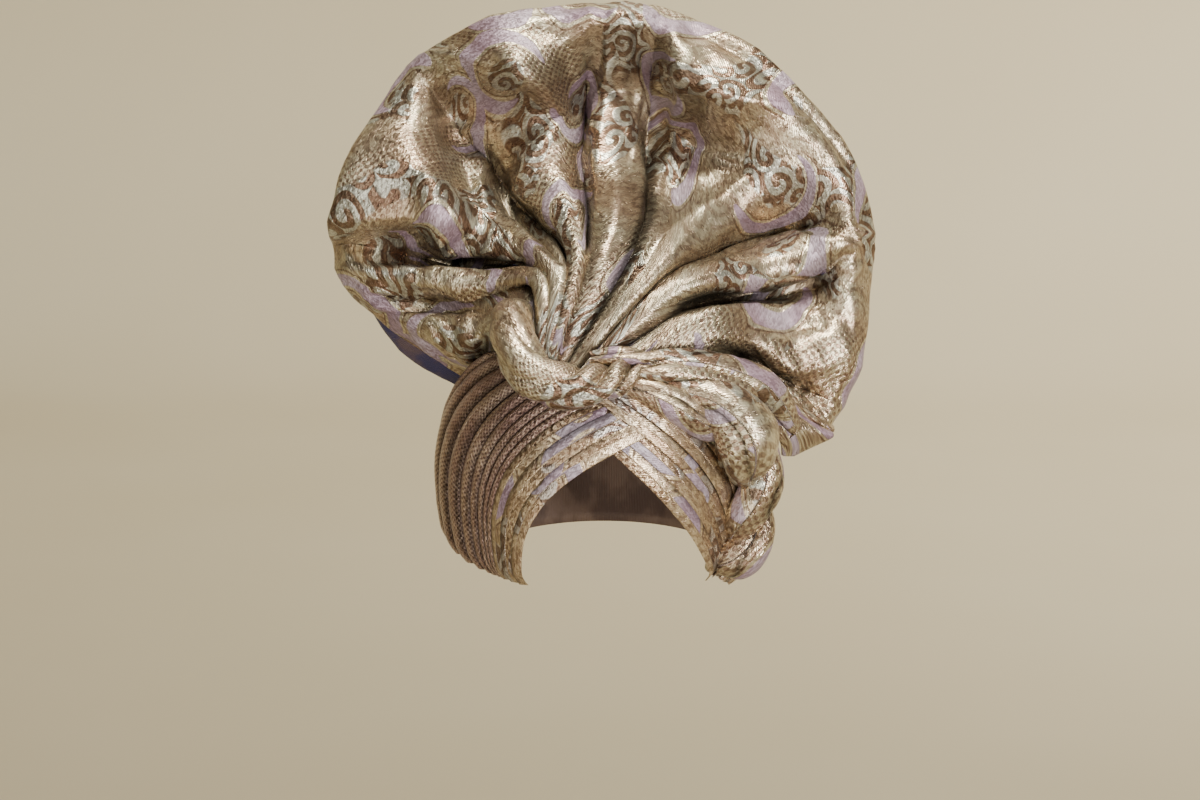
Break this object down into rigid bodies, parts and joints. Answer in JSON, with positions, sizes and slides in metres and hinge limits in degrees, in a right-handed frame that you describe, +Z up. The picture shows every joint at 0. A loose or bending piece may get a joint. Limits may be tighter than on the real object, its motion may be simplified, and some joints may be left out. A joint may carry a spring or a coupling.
{
  "type": "gele head tie",
  "caption": "Tied gele head tie: a pleated fan that curls forward over a knot and a side braid, on pleated brow bands that wrap the head.",
  "frame": {"origin": "middle of the head opening, level with the temples", "axes": "+Z up through the crown, -Y towards the front of the face, +X to the right of someone who looks at the face"},
  "size_m": [0.3125, 0.2095, 0.325],
  "materials": {
    "brocade": "stiff jacquard brocade, cream and gold with lilac, with a metallic sheen",
    "brocade_shade": "the same brocade where it is laid plainly at the back"
  },
  "bodies": {
    "root": {"crown_wrap": "brocade_shade", "right_brow_pleats": "brocade", "left_brow_pleats": "brocade", "fan_front": "brocade", "fan_back": "brocade_shade", "knot_roll": "brocade", "upper_roll": "brocade", "braid_strand_front": "brocade", "braid_strand_back": "brocade_shade", "tail_end": "brocade"}
  },
  "joints": []
}
